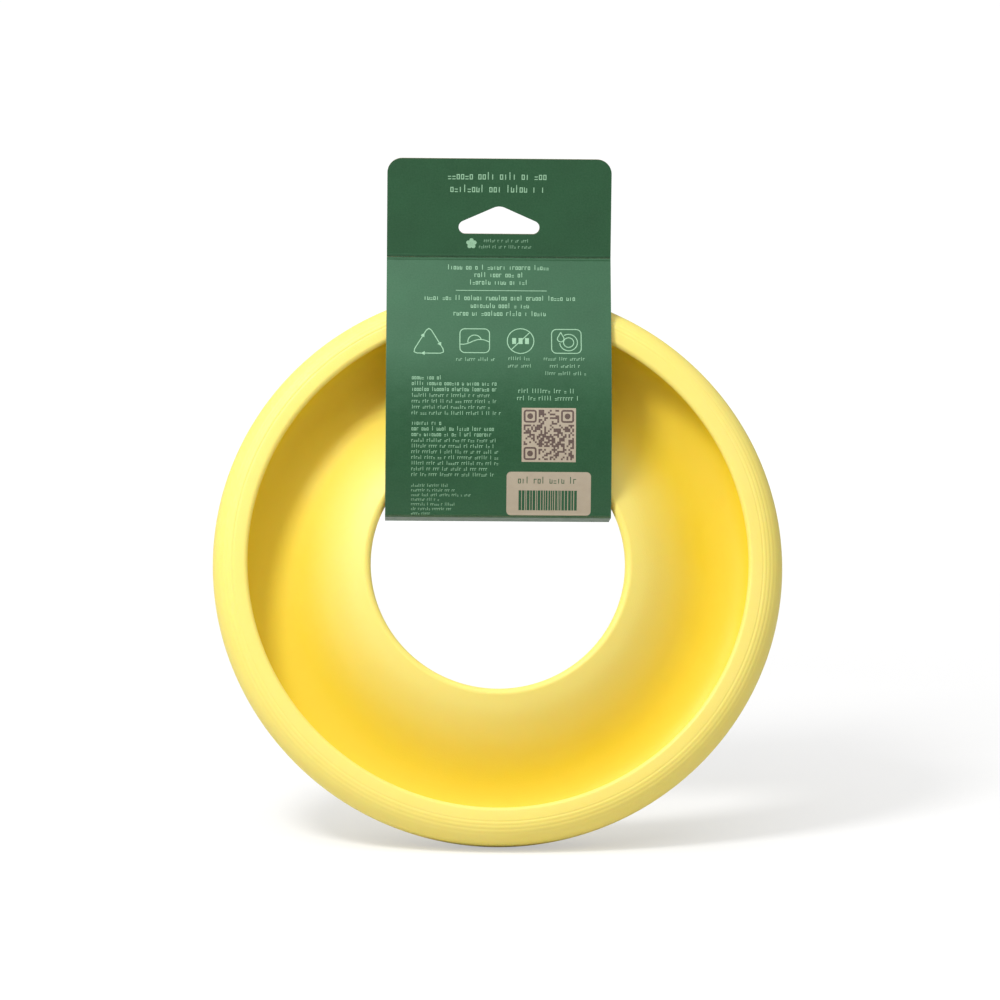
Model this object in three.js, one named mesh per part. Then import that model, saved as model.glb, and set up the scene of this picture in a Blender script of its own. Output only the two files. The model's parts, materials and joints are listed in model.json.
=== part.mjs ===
// A dog's flying ring of soft moulded elastomer, standing on its edge and leaning back,
// with the folded board hang card that it is sold on still looped round its section.
// Millimetres, +Z up. The ring's open channel side faces -Y, and the X axis runs to the right.
// Each card panel between two creases is a body of its own, because it folds about the crease.

import * as THREE from "three";

// ---- driving dimensions -------------------------------------------------------------------

const RING_RADIUS = 115;
const RING_LEAN = THREE.MathUtils.degToRad(22);
const RING_SEGMENTS = 72;

// The ring's section: radius from the ring's axis, depth behind the plane of the open lip.
const LIP_INNER_RADIUS = 100.8;
const LIP_FLAT_INNER = 102.6;
const LIP_FLAT_OUTER = 106;
const RIM_WALL_START = 9.3;
const RIM_WALL_END = 15;
const RIM_WALL_TAPER = 0.5;
const CROWN_DEPTH = 26.4;
const CROWN_RADIUS = 94;
const CHANNEL_DEPTH = 22.6;
const CHANNEL_RADIUS = 88;
const HOLE_RADIUS = 51.3;
const HOLE_LIP_FRONT = 6.5;
const HOLE_LIP_THICKNESS = 5.4;

// Knots between those fixed points, again as radius and depth: the web's hollow back, the web's
// front up to the channel's floor, and the channel's outer wall, which is slightly undercut.
const WEB_BACK = [[84, 24.9], [71, 19.3], [60, 13.8]];
const WEB_FRONT = [[61, 9.4], [71, 15.6], [80, 20.6]];
const CHANNEL_WALL = [[97, 21.9], [102.8, 18.5], [104.6, 13], [103.6, 7]];

const CARD_WIDTH = 91.4;
const BOARD = 0.5;
const CREASE_GAP = 0.45;
const HEADER_HEIGHT = 40.3;
const HEADER_CORNER = 6;
const GLUE_THICKNESS = 0.2;
const GLUE_GAP = 0.15;
const GLUE_WIDTH = 70;
const GLUE_HEIGHT = 12;
const GLUE_RISE = 4;

// Where the card's header crease stands above and behind the middle of the ring's lip plane.
const CREASE_BACK = 49.3;
const CREASE_UP = 116.6;

// Front panel: a straight run that rests on the lip, then a bow that ends almost upright.
const FRONT_SLOPE = THREE.MathUtils.degToRad(29);
const FRONT_STRAIGHT = 40;
const FRONT_BOW = 69.3;
const FRONT_END_SLOPE = THREE.MathUtils.degToRad(-2);

// Bottom panel: passes back through the ring's hole and drops a little on the way.
const BOTTOM_LENGTH = 19.5;
const BOTTOM_DROP = THREE.MathUtils.degToRad(14);

// Back panel: leaves the header crease backwards, bows closely round the crown and comes in again.
const BACK_SLOPE = THREE.MathUtils.degToRad(32);
const BACK_STRAIGHT = 18;
const BACK_BOW = 24;
const BACK_END_SLOPE = THREE.MathUtils.degToRad(-23);

// The hang hole is a wide flat-bottomed slot whose top rises to a round peak.
const HOLE_WIDTH = 33;
const HOLE_HEIGHT = 11.2;
const HOLE_BOTTOM = 9.6;
const HOLE_END_RADIUS = 2.7;
const HOLE_PEAK_HALF = 2.5;
const HOLE_ROOF_SLOPE = THREE.MathUtils.degToRad(25);

const AXIS_X = new THREE.Vector3(1, 0, 0);
const AXIS_Y = new THREE.Vector3(0, 1, 0);
const AXIS_Z = new THREE.Vector3(0, 0, 1);

// ---- materials ----------------------------------------------------------------------------

function elastomer() {
  return new THREE.MeshStandardMaterial({ color: 0xf2de6a, roughness: 0.62, metalness: 0 });
}

function board() {
  return new THREE.MeshStandardMaterial({ color: 0x47735a, roughness: 0.7, metalness: 0 });
}

function glue() {
  return new THREE.MeshStandardMaterial({ color: 0xd8d4c4, roughness: 0.5, metalness: 0 });
}

// ---- the ring -----------------------------------------------------------------------------

// Adds a quarter of an ellipse to a list of section points, from one angle to another.
function addArc(points, centre, radii, from, to, steps) {
  for (let i = 0; i <= steps; i++) {
    const angle = THREE.MathUtils.degToRad(from + ((to - from) * i) / steps);
    const r = centre[0] + radii[0] * Math.cos(angle);
    const depth = centre[1] + radii[1] * Math.sin(angle);
    points.push(new THREE.Vector2(r, depth));
  }
}

// Adds a smooth curve through a few knots, leaving out its first point.
function addCurve(points, knots, steps) {
  const curve = new THREE.SplineCurve(knots.map(([r, depth]) => new THREE.Vector2(r, depth)));
  points.push(...curve.getPoints(steps).slice(1));
}

// The closed section, walked from the lip over the rim, along the back and out of the channel.
function ringSection() {
  const points = [];
  const lipRound = LIP_FLAT_INNER - LIP_INNER_RADIUS;
  const rimRound = RING_RADIUS - LIP_FLAT_OUTER;
  addArc(points, [LIP_FLAT_INNER, lipRound], [lipRound, lipRound], 180, 270, 2);
  addArc(points, [LIP_FLAT_OUTER, RIM_WALL_START], [rimRound, RIM_WALL_START], 270, 360, 6);
  const shoulder = CROWN_DEPTH - RIM_WALL_END;
  const shoulderWidth = RING_RADIUS - RIM_WALL_TAPER - CROWN_RADIUS;
  addArc(points, [CROWN_RADIUS, RIM_WALL_END], [shoulderWidth, shoulder], 0, 90, 6);
  const holeMiddle = HOLE_LIP_FRONT + HOLE_LIP_THICKNESS / 2;
  const noseRadius = HOLE_LIP_THICKNESS / 2;
  addCurve(
    points,
    [
      [CROWN_RADIUS, CROWN_DEPTH],
      ...WEB_BACK,
      [HOLE_RADIUS + noseRadius, HOLE_LIP_FRONT + HOLE_LIP_THICKNESS],
    ],
    7,
  );
  const nose = [];
  addArc(nose, [HOLE_RADIUS + noseRadius, holeMiddle], [noseRadius, noseRadius], 90, 270, 5);
  points.push(...nose.slice(1));
  addCurve(
    points,
    [
      [HOLE_RADIUS + noseRadius, HOLE_LIP_FRONT],
      ...WEB_FRONT,
      [CHANNEL_RADIUS, CHANNEL_DEPTH],
      ...CHANNEL_WALL,
      [LIP_INNER_RADIUS, lipRound],
    ],
    13,
  );
  return points;
}

function ringBody() {
  const section = ringSection();
  // LatheGeometry turns about Y, so the depth behind the lip runs down the lathe's -Y.
  const profile = section.map((p) => new THREE.Vector2(p.x, -p.y)).reverse();
  const mesh = new THREE.Mesh(new THREE.LatheGeometry(profile, RING_SEGMENTS), elastomer());
  mesh.name = "ring_body";
  mesh.rotation.x = Math.PI - RING_LEAN;
  return mesh;
}

// ---- the card -----------------------------------------------------------------------------

// A card path is a list of points seen from the side: x is how far back, y is how far up.
// slope is measured from straight down, and leads forwards or backwards by the sign of side.
function addRun(path, length, from, to, side, steps) {
  const step = length / steps;
  for (let i = 0; i < steps; i++) {
    const slope = from + ((to - from) * (i + 0.5)) / steps;
    const last = path[path.length - 1];
    const back = last.x + side * step * Math.sin(slope);
    path.push(new THREE.Vector2(back, last.y - step * Math.cos(slope)));
  }
}

// Takes a short piece off one end of a path, so that panels don't touch at their crease.
function trimEnd(path, amount) {
  const last = path[path.length - 1];
  const before = path[path.length - 2];
  const towards = before.clone().sub(last).setLength(amount);
  path[path.length - 1] = last.clone().add(towards);
}

function trimmed(path) {
  const copy = path.map((p) => p.clone());
  trimEnd(copy, CREASE_GAP);
  copy.reverse();
  trimEnd(copy, CREASE_GAP);
  return copy.reverse();
}

// The path moved sideways by a distance, which gives one face of the board.
function offsetPath(path, distance) {
  return path.map((point, i) => {
    const before = path[Math.max(i - 1, 0)];
    const after = path[Math.min(i + 1, path.length - 1)];
    const along = after.clone().sub(before).normalize();
    return new THREE.Vector2(point.x - along.y * distance, point.y + along.x * distance);
  });
}

// A sheet of board as wide as the card, bent along a side-view path.
function sheet(name, path) {
  const faceA = offsetPath(path, BOARD / 2);
  const faceB = offsetPath(path, -BOARD / 2).reverse();
  const outline = new THREE.Shape([...faceA, ...faceB]);
  const settings = { depth: CARD_WIDTH, bevelEnabled: false };
  const geometry = new THREE.ExtrudeGeometry(outline, settings);
  geometry.translate(0, 0, -CARD_WIDTH / 2);
  // The outline's x and y become +Y and +Z, and the extrusion runs along X.
  geometry.applyMatrix4(new THREE.Matrix4().makeBasis(AXIS_Y, AXIS_Z, AXIS_X));
  const mesh = new THREE.Mesh(geometry, board());
  mesh.name = name;
  return mesh;
}

// The hang hole's outline, in header coordinates with y measured up from the crease.
function hangHole() {
  const half = HOLE_WIDTH / 2;
  const low = HOLE_BOTTOM;
  const high = HOLE_BOTTOM + HOLE_HEIGHT;
  const r = HOLE_END_RADIUS;
  const steep = Math.PI / 2 - HOLE_ROOF_SLOPE;
  const drop = HOLE_PEAK_HALF * Math.tan(HOLE_ROOF_SLOPE);
  const hole = new THREE.Path();
  hole.moveTo(-half + r, low);
  hole.lineTo(half - r, low);
  hole.absarc(half - r, low + r, r, -Math.PI / 2, steep, false);
  hole.lineTo(HOLE_PEAK_HALF, high - drop / 2);
  hole.quadraticCurveTo(0, high + drop / 2, -HOLE_PEAK_HALF, high - drop / 2);
  hole.absarc(-half + r, low + r, r, Math.PI - steep, Math.PI * 1.5, false);
  return hole;
}

// The header's outline: square at the crease, with round top corners and the hang hole.
function headerOutline() {
  const half = CARD_WIDTH / 2;
  const c = HEADER_CORNER;
  const outline = new THREE.Shape();
  outline.moveTo(-half, CREASE_GAP);
  outline.lineTo(half, CREASE_GAP);
  outline.lineTo(half, HEADER_HEIGHT - c);
  outline.absarc(half - c, HEADER_HEIGHT - c, c, 0, Math.PI / 2, false);
  outline.absarc(-half + c, HEADER_HEIGHT - c, c, Math.PI / 2, Math.PI, false);
  outline.holes.push(hangHole());
  return outline;
}

// A flat upright plate whose front face lies at the given distance back from the lip's middle.
function uprightPlate(name, outline, thickness, front, material) {
  const settings = { depth: thickness, bevelEnabled: false, curveSegments: 8 };
  const geometry = new THREE.ExtrudeGeometry(outline, settings);
  geometry.rotateX(Math.PI / 2);
  const mesh = new THREE.Mesh(geometry, material);
  mesh.name = name;
  mesh.position.set(0, front + thickness, CREASE_UP);
  return mesh;
}

function glueOutline() {
  const half = GLUE_WIDTH / 2;
  const low = HOLE_BOTTOM + HOLE_HEIGHT + GLUE_RISE;
  const outline = new THREE.Shape();
  outline.moveTo(-half, low);
  outline.lineTo(half, low);
  outline.lineTo(half, low + GLUE_HEIGHT);
  outline.lineTo(-half, low + GLUE_HEIGHT);
  return outline;
}

function card() {
  const group = new THREE.Group();
  const leafStep = BOARD + GLUE_THICKNESS + 2 * GLUE_GAP;
  const frontCrease = new THREE.Vector2(CREASE_BACK, CREASE_UP);
  const backCrease = new THREE.Vector2(CREASE_BACK + leafStep, CREASE_UP);

  const front = [frontCrease];
  addRun(front, FRONT_STRAIGHT, FRONT_SLOPE, FRONT_SLOPE, -1, 1);
  addRun(front, FRONT_BOW, FRONT_SLOPE, FRONT_END_SLOPE, -1, 10);

  const back = [backCrease];
  addRun(back, BACK_STRAIGHT, BACK_SLOPE, BACK_SLOPE, 1, 1);
  addRun(back, BACK_BOW, BACK_SLOPE, BACK_END_SLOPE, 1, 12);
  const start = front[front.length - 1];
  const rise = new THREE.Vector2(Math.cos(BOTTOM_DROP), -Math.sin(BOTTOM_DROP));
  const end = start.clone().addScaledVector(rise, BOTTOM_LENGTH);
  back.push(end.clone());

  group.add(sheet("front_panel", trimmed(front)));
  group.add(sheet("bottom_panel", trimmed([start, end])));
  group.add(sheet("back_panel", trimmed(back)));

  const frontFace = CREASE_BACK - BOARD / 2;
  const glueFace = frontFace + BOARD + GLUE_GAP;
  group.add(uprightPlate("header_front", headerOutline(), BOARD, frontFace, board()));
  group.add(uprightPlate("header_glue", glueOutline(), GLUE_THICKNESS, glueFace, glue()));
  group.add(uprightPlate("header_back", headerOutline(), BOARD, frontFace + leafStep, board()));
  return group;
}

// ---- the assembly -------------------------------------------------------------------------

// Everything is built about the middle of the lip plane, then stood on z = 0 with the origin
// at the middle of the footprint.
const assembly = new THREE.Group();
assembly.add(ringBody());
assembly.add(card());
const box = new THREE.Box3().setFromObject(assembly, true);
const middle = box.getCenter(new THREE.Vector3());
assembly.position.set(-middle.x, -middle.y, -box.min.z);

export default assembly;
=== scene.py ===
"""A soft flying ring leaning back on its edge, with its board hang card still looped round it.

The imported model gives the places: the ring's middle and axis are those of the joint that the card
slides on, and each card panel runs from one crease joint to the next. Shapes are in millimetres,
and are turned into metres as their points are placed.
"""

import json
import math
import random

import bpy
from mathutils import Matrix, Vector
from mathutils.geometry import delaunay_2d_cdt


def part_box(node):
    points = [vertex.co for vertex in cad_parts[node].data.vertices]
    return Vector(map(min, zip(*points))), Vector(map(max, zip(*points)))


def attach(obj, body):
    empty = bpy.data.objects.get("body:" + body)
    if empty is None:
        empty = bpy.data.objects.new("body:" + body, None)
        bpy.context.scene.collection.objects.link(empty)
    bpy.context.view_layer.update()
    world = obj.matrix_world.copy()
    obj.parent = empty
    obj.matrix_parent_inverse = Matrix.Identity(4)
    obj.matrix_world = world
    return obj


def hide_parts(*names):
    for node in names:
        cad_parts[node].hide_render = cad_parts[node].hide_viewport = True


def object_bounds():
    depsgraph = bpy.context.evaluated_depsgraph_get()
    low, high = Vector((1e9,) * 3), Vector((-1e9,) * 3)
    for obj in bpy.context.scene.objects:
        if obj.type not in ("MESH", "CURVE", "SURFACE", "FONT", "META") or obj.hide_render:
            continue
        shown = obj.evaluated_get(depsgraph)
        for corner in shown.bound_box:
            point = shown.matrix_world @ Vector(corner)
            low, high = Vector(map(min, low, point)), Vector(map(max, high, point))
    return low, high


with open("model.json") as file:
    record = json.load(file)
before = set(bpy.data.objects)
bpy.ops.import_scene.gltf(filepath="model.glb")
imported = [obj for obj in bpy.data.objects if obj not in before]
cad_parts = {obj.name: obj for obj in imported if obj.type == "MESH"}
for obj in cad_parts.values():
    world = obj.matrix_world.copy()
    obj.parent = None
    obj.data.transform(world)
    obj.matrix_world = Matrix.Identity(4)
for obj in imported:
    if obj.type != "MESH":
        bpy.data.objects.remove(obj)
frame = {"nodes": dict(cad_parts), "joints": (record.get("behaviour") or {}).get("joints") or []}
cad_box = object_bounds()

MM = 0.001
X_AXIS = Vector((1, 0, 0))

# ---- places from the frame

JOINTS = {joint["name"]: joint for joint in frame["joints"]}
RING_MIDDLE = Vector(JOINTS["card_travel"]["pos_m"])
RING_AXIS = Vector(JOINTS["card_travel"]["axis"]).normalized()
GROUND = cad_box[0].z


def crease(name):
    """Where a crease joint stands, seen from the side: how far back and how far up, in mm."""
    place = Vector(JOINTS[name]["pos_m"]) / MM
    return Vector((place.y, place.z))


HEADER_CREASE_FRONT = crease("header_front_crease")
HEADER_CREASE_BACK = crease("header_back_crease")
BOTTOM_CREASE_FRONT = crease("bottom_front_crease")
BOTTOM_CREASE_BACK = crease("bottom_back_crease")
CARD_WIDTH = (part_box("front_panel")[1].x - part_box("front_panel")[0].x) / MM
HEADER_HEIGHT = (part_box("header_front")[1].z / MM) - HEADER_CREASE_FRONT.y

# ---- the ring's section, as radius and depth behind the lip, in mm

RING_RADIUS = 115
LIP_INNER_RADIUS = 100.8
LIP_FLAT_INNER = 102.6
LIP_FLAT_OUTER = 106
RIM_WALL_START = 9.3
RIM_WALL_END = 15
RIM_WALL_TAPER = 0.5
CROWN_DEPTH = 26.4
CROWN_RADIUS = 94
CHANNEL_DEPTH = 22.6
CHANNEL_RADIUS = 88
HOLE_RADIUS = 51.3
HOLE_LIP_FRONT = 6.5
HOLE_LIP_THICKNESS = 5.4
WEB_BACK = [(84, 24.9), (71, 19.3), (60, 13.8)]
WEB_FRONT = [(61, 9.4), (71, 15.6), (80, 20.6)]
CHANNEL_WALL = [(97, 21.9), (102.8, 18.5), (104.6, 13), (103.6, 7)]
RIM_COLOUR_DEPTH = 0.06

# How finely the ring is divided: round its axis, along each arc, and in each span of a curve.
RING_SEGMENTS = 288
LIP_STEPS = 10
GROOVED_STEPS = 84
WALL_STEPS = 22
SHOULDER_STEPS = 22
BACK_STEPS = 8
NOSE_STEPS = 16
CHANNEL_STEPS = 7

# Fine grooves that run round the rim just outside its flat band, and its faint parting line.
FIRST_GROOVE = 106.7
GROOVE_PITCH = 1.55
GROOVE_DEPTHS = [0.12, 0.08, 0.1, 0.06]
GROOVE_WIDTH = 0.36
PARTING_DEPTH = 12.2
PARTING_HEIGHT = 0.07
PARTING_WIDTH = 0.25

# ---- the card, in mm

BOARD = 0.5

# A panel stops at CREASE_END from its crease line, with a round nose of radius CREASE_HALF. It is
# back to full thickness CREASE_SHOULDER further on, and the scored bead stands up beyond that.
CREASE_END = 0.11
CREASE_HALF = 0.05
CREASE_SHOULDER = 0.47
CREASE_ROWS = [0.15, 0.3, 0.45, 0.6, 0.75, 0.9, 1.05, 1.2, 1.4, 1.7]
FOLD_TURNS = (45, 90, 135)
BEAD_HEIGHT = 0.12
BEAD_PLACE = 0.95
BEAD_WIDTH = 0.32

WEAR_REACH = 0.5
EDGE_WEAR = 0.8
ON_LINE = 0.01
BEND_STEP = 1.6

HEADER_CORNER = 6
HOLE_WIDTH = 33
HOLE_HEIGHT = 11.2
HOLE_BOTTOM = 9.6
HOLE_END_RADIUS = 2.7
HOLE_PEAK_HALF = 2.5
HOLE_ROOF_SLOPE = 25

# Runs of the board seen from the side: length, then its first and last heading, in degrees from
# straight back towards up.
FRONT_RUNS = [(40, -119, -119), (69.3, -119, -88)]
BACK_RUNS = [(18, -58, -58), (24, -58, -113)]

# ---- colours


def linear(red, green, blue):
    """A colour given as 0 to 255 screen values, as the linear RGBA that a shader takes."""
    def channel(value):
        value /= 255
        return value / 12.92 if value <= 0.04045 else ((value + 0.055) / 1.055) ** 2.4
    return (channel(red), channel(green), channel(blue), 1)


# The pale yellow is the rubber's own colour. The deeper yellow is a painted shade, laid on down in the
# channel for the light bounced between its walls, and a little of it goes into faint random clouds.
PALE_YELLOW = linear(248, 229, 124)
SHADE_AND_MOTTLE_YELLOW = linear(240, 211, 46)
GREEN_INK = linear(28, 74, 41)
DARK_GREEN_INK = linear(24, 66, 35)
GREEN_SHEEN = (0.58, 1, 0.74, 1)
PALE_INK = linear(160, 205, 170)
BROWN_INK = linear(84, 66, 62)
BARE_BOARD = linear(182, 170, 150)
BARE_BOARD_FLECK = linear(160, 142, 124)
CRACKED_INK = linear(120, 150, 126)
GLUE_MILK = linear(214, 208, 190)
GLUE_AMBER = linear(196, 180, 140)
FLOOR_WHITE = (0.5, 0.5, 0.5, 1)
FLOOR_BOUNCE = (0.72, 0.71, 0.69, 1)

# ---- shader building


def add(tree, kind, inputs=None, **settings):
    """Adds a shader node with its settings, and fills its inputs with values or with links."""
    node = tree.nodes.new(kind)
    for key, value in settings.items():
        setattr(node, key, value)
    for key, value in (inputs or {}).items():
        if isinstance(value, bpy.types.NodeSocket):
            tree.links.new(value, node.inputs[key])
        else:
            node.inputs[key].default_value = value
    return node


def new_material(name, **surface_values):
    """An empty material with one Principled surface, whose sockets take plain values."""
    material = bpy.data.materials.new(name)
    material.use_nodes = True
    tree = material.node_tree
    tree.nodes.clear()
    surface = add(tree, "ShaderNodeBsdfPrincipled")
    for key, value in surface_values.items():
        surface.inputs[key.replace("_", " ")].default_value = value
    output = add(tree, "ShaderNodeOutputMaterial")
    tree.links.new(surface.outputs["BSDF"], output.inputs["Surface"])
    return material, tree, surface


def noise(tree, place, scale, detail=3.0, roughness=0.5):
    inputs = {"Vector": place, "Scale": scale, "Detail": detail, "Roughness": roughness}
    return add(tree, "ShaderNodeTexNoise", inputs).outputs["Fac"]


def stretched(tree, place, factors):
    """The place scaled by a factor on each axis, which draws a pattern out where it is small."""
    inputs = {0: place, 1: factors}
    return add(tree, "ShaderNodeVectorMath", inputs, operation="MULTIPLY").outputs[0]


def math_node(tree, operation, first, second):
    return add(tree, "ShaderNodeMath", {0: first, 1: second}, operation=operation).outputs[0]


def between(tree, value, low, high, to_low=0.0, to_high=1.0):
    """Spreads the values from low to high over to_low to to_high, and clamps the rest."""
    inputs = {"Value": value, "From Min": low, "From Max": high, "To Min": to_low, "To Max": to_high}
    return add(tree, "ShaderNodeMapRange", inputs).outputs["Result"]


def mix_colour(tree, factor, first, second):
    """The first colour where the factor is 0, and the second where it is 1."""
    node = add(tree, "ShaderNodeMix", data_type="RGBA")
    for socket, value in ((node.inputs[0], factor), (node.inputs[6], first), (node.inputs[7], second)):
        if isinstance(value, bpy.types.NodeSocket):
            tree.links.new(value, socket)
        else:
            socket.default_value = value
    return node.outputs[2]


def bump(tree, height, distance, strength=1.0, normal=None):
    """Fine relief from a height, on top of another one's normal if that is given."""
    inputs = {"Height": height, "Distance": distance, "Strength": strength}
    if normal is not None:
        inputs["Normal"] = normal
    return add(tree, "ShaderNodeBump", inputs).outputs["Normal"]


# ---- materials

# Depths of the fine relief, in metres.
MOULD_MARK_DEPTH = 0.00004
GRAIN_DEPTH = 0.00006
FIBRE_DEPTH = 0.00003
WAVE_DEPTH = 0.0004
GLUE_LUMP_HEIGHT = 0.0002

# Mould marks run round the ring, and fibres across the card.
MOULD_STRETCH = (1, 0.004, 1)
FIBRE_STRETCH = (0.35, 1, 1)
WEAR_POWER = 1.6
WEAR_STRENGTH = 0.5
SPECKLE_STRENGTH = 0.03


def elastomer():
    """Satin, slightly translucent yellow rubber with a fine moulded grain. Down in the channel its
    yellow is painted deeper, as shade.
    """
    material, tree, surface = new_material(
        "yellow_elastomer", Roughness=0.5, IOR=1.46, Subsurface_Weight=0.25, Subsurface_Scale=0.004
    )
    surface.inputs["Subsurface Radius"].default_value = (1.0, 0.55, 0.12)
    place = add(tree, "ShaderNodeTexCoord").outputs["Object"]
    along = add(tree, "ShaderNodeUVMap", uv_map="section").outputs["UV"]
    cloudy = noise(tree, place, scale=22, detail=4)
    clouds = between(tree, cloudy, 0.3, 0.7, to_low=-0.05, to_high=0.08)
    # Painted shade: how much deeper the yellow is painted at each point, most down in the channel, with
    # faint random clouds added to it.
    channel_shade = add(tree, "ShaderNodeAttribute", attribute_name="painted_channel_shade").outputs["Fac"]
    deep = math_node(tree, "ADD", channel_shade, clouds)
    tree.links.new(mix_colour(tree, deep, PALE_YELLOW, SHADE_AND_MOTTLE_YELLOW), surface.inputs["Base Color"])
    patchy = noise(tree, place, scale=55, detail=3)
    rough = between(tree, patchy, 0.3, 0.7, to_low=0.44, to_high=0.56)
    tree.links.new(rough, surface.inputs["Roughness"])

    mould_marks = noise(tree, stretched(tree, along, MOULD_STRETCH), scale=900, detail=2)
    marked = bump(tree, mould_marks, distance=MOULD_MARK_DEPTH, strength=0.6)
    grain = noise(tree, place, scale=2600, detail=2)
    grained = bump(tree, grain, distance=GRAIN_DEPTH, strength=0.7, normal=marked)
    tree.links.new(grained, surface.inputs["Normal"])
    return material


def board_bump(tree, place, surface):
    """The felt of board fibres, longer across the sheet than along it, and faint wide waves."""
    fibres = noise(tree, stretched(tree, place, FIBRE_STRETCH), scale=2400, detail=4, roughness=0.6)
    felted = bump(tree, fibres, distance=FIBRE_DEPTH, strength=0.4)
    waves = noise(tree, place, scale=45, detail=2)
    wavy = bump(tree, waves, distance=WAVE_DEPTH, strength=0.35, normal=felted)
    tree.links.new(wavy, surface.inputs["Normal"])


def worn(tree, place, fresh, bare):
    """Mixes in the bare colour where the wear attribute and a fine noise both ask for it."""
    wear = add(tree, "ShaderNodeAttribute", attribute_name="wear").outputs["Fac"]
    flaky = noise(tree, place, scale=1500, detail=5, roughness=0.7)
    flakes = between(tree, flaky, 0.4, 0.62)
    amount = math_node(tree, "MULTIPLY", math_node(tree, "POWER", wear, WEAR_POWER), flakes)
    return mix_colour(tree, math_node(tree, "MULTIPLY", amount, WEAR_STRENGTH), fresh, bare)


def green_ink():
    """Matte varnished green print, a little cloudy where the board takes it up unevenly."""
    material, tree, surface = new_material("green_print", Roughness=0.4, IOR=1.72)
    surface.inputs["Specular Tint"].default_value = GREEN_SHEEN
    place = add(tree, "ShaderNodeUVMap", uv_map="flat").outputs["UV"]
    clouds = between(tree, noise(tree, place, scale=60, detail=5, roughness=0.6), 0.3, 0.7)
    mottle = between(tree, noise(tree, place, scale=1400, detail=3, roughness=0.6), 0.35, 0.7)
    colour = mix_colour(tree, clouds, GREEN_INK, DARK_GREEN_INK)
    speckles = math_node(tree, "MULTIPLY", mottle, SPECKLE_STRENGTH)
    speckled = mix_colour(tree, speckles, colour, PALE_INK)
    tree.links.new(worn(tree, place, speckled, CRACKED_INK), surface.inputs["Base Color"])
    patchy = noise(tree, place, scale=300, detail=4)
    rough = between(tree, patchy, 0.3, 0.7, to_low=0.36, to_high=0.46)
    tree.links.new(rough, surface.inputs["Roughness"])
    board_bump(tree, place, surface)
    return material


def pale_ink():
    """Pale green print that lets a little of the dark green through."""
    material, tree, surface = new_material("pale_print", Roughness=0.48, IOR=1.5)
    place = add(tree, "ShaderNodeUVMap", uv_map="flat").outputs["UV"]
    spots = noise(tree, place, scale=3000, detail=3, roughness=0.6)
    spotty = between(tree, spots, 0.35, 0.75, to_high=0.35)
    tree.links.new(mix_colour(tree, spotty, PALE_INK, GREEN_INK), surface.inputs["Base Color"])
    board_bump(tree, place, surface)
    return material


def brown_ink():
    """Grey-brown print on bare board, thin in places."""
    material, tree, surface = new_material("brown_print", Roughness=0.5, IOR=1.5)
    place = add(tree, "ShaderNodeUVMap", uv_map="flat").outputs["UV"]
    spots = noise(tree, place, scale=2600, detail=4, roughness=0.6)
    thin = between(tree, spots, 0.4, 0.75, to_high=0.35)
    tree.links.new(mix_colour(tree, thin, BROWN_INK, BARE_BOARD_FLECK), surface.inputs["Base Color"])
    board_bump(tree, place, surface)
    return material


def bare_board():
    """Unprinted grey-pink board with darker recycled flecks."""
    material, tree, surface = new_material("bare_board", Roughness=0.78, IOR=1.45)
    place = add(tree, "ShaderNodeUVMap", uv_map="flat").outputs["UV"]
    cloudy = noise(tree, place, scale=220, detail=5, roughness=0.6)
    clouds = between(tree, cloudy, 0.3, 0.7, to_high=0.3)
    flecked = noise(tree, place, scale=1900, detail=3, roughness=0.7)
    flecks = between(tree, flecked, 0.6, 0.72, to_high=0.7)
    amount = math_node(tree, "MAXIMUM", clouds, flecks)
    colour = mix_colour(tree, amount, BARE_BOARD, BARE_BOARD_FLECK)
    tree.links.new(colour, surface.inputs["Base Color"])
    board_bump(tree, place, surface)
    return material


def glue_film():
    """A milky film of hot glue with lumps and thin patches."""
    material, tree, surface = new_material("glue_film", Roughness=0.35, IOR=1.48)
    surface.inputs["Transmission Weight"].default_value = 0.3
    place = add(tree, "ShaderNodeTexCoord").outputs["Object"]
    lumps = noise(tree, place, scale=400, detail=3)
    tree.links.new(mix_colour(tree, lumps, GLUE_MILK, GLUE_AMBER), surface.inputs["Base Color"])
    tree.links.new(bump(tree, lumps, distance=GLUE_LUMP_HEIGHT), surface.inputs["Normal"])
    return material


# ---- the ring


def arc(centre, radii, start, end, steps):
    """Points on part of an ellipse in the section, from one angle to another in degrees."""
    angles = [math.radians(start + (end - start) * i / steps) for i in range(steps + 1)]
    return [
        Vector((centre[0] + radii[0] * math.cos(a), centre[1] + radii[1] * math.sin(a)))
        for a in angles
    ]


def spline(knots, steps):
    """A smooth curve through the knots, with the same number of steps in each span."""
    knots = [Vector(knot) for knot in knots]
    points = []
    for i in range(len(knots) - 1):
        before, after = knots[max(i - 1, 0)], knots[min(i + 2, len(knots) - 1)]
        start, end = knots[i], knots[i + 1]
        leave, arrive = (end - before) / 2, (after - start) / 2
        for step in range(steps):
            t = step / steps
            points.append(
                start * (2 * t**3 - 3 * t**2 + 1) + leave * (t**3 - 2 * t**2 + t)
                + end * (3 * t**2 - 2 * t**3) + arrive * (t**3 - t**2)
            )
    return points + [knots[-1]]


def smooth(part):
    """Eases from 0 to 1 as part goes from 0 to 1, and stays there outside."""
    part = min(1, max(0, part))
    return part * part * (3 - 2 * part)


def relief(radius, depth):
    """How far the surface stands out of the plain section: grooves below it, the parting line above."""
    out = 0
    if depth < RIM_WALL_START and radius > LIP_FLAT_OUTER:
        for i, groove in enumerate(GROOVE_DEPTHS):
            away = (radius - FIRST_GROOVE - i * GROOVE_PITCH) / GROOVE_WIDTH
            out -= groove * math.exp(-away * away)
    if radius > RING_RADIUS - 2 * RIM_WALL_TAPER:
        away = (depth - PARTING_DEPTH) / PARTING_WIDTH
        out += PARTING_HEIGHT * math.exp(-away * away)
    return out


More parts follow.
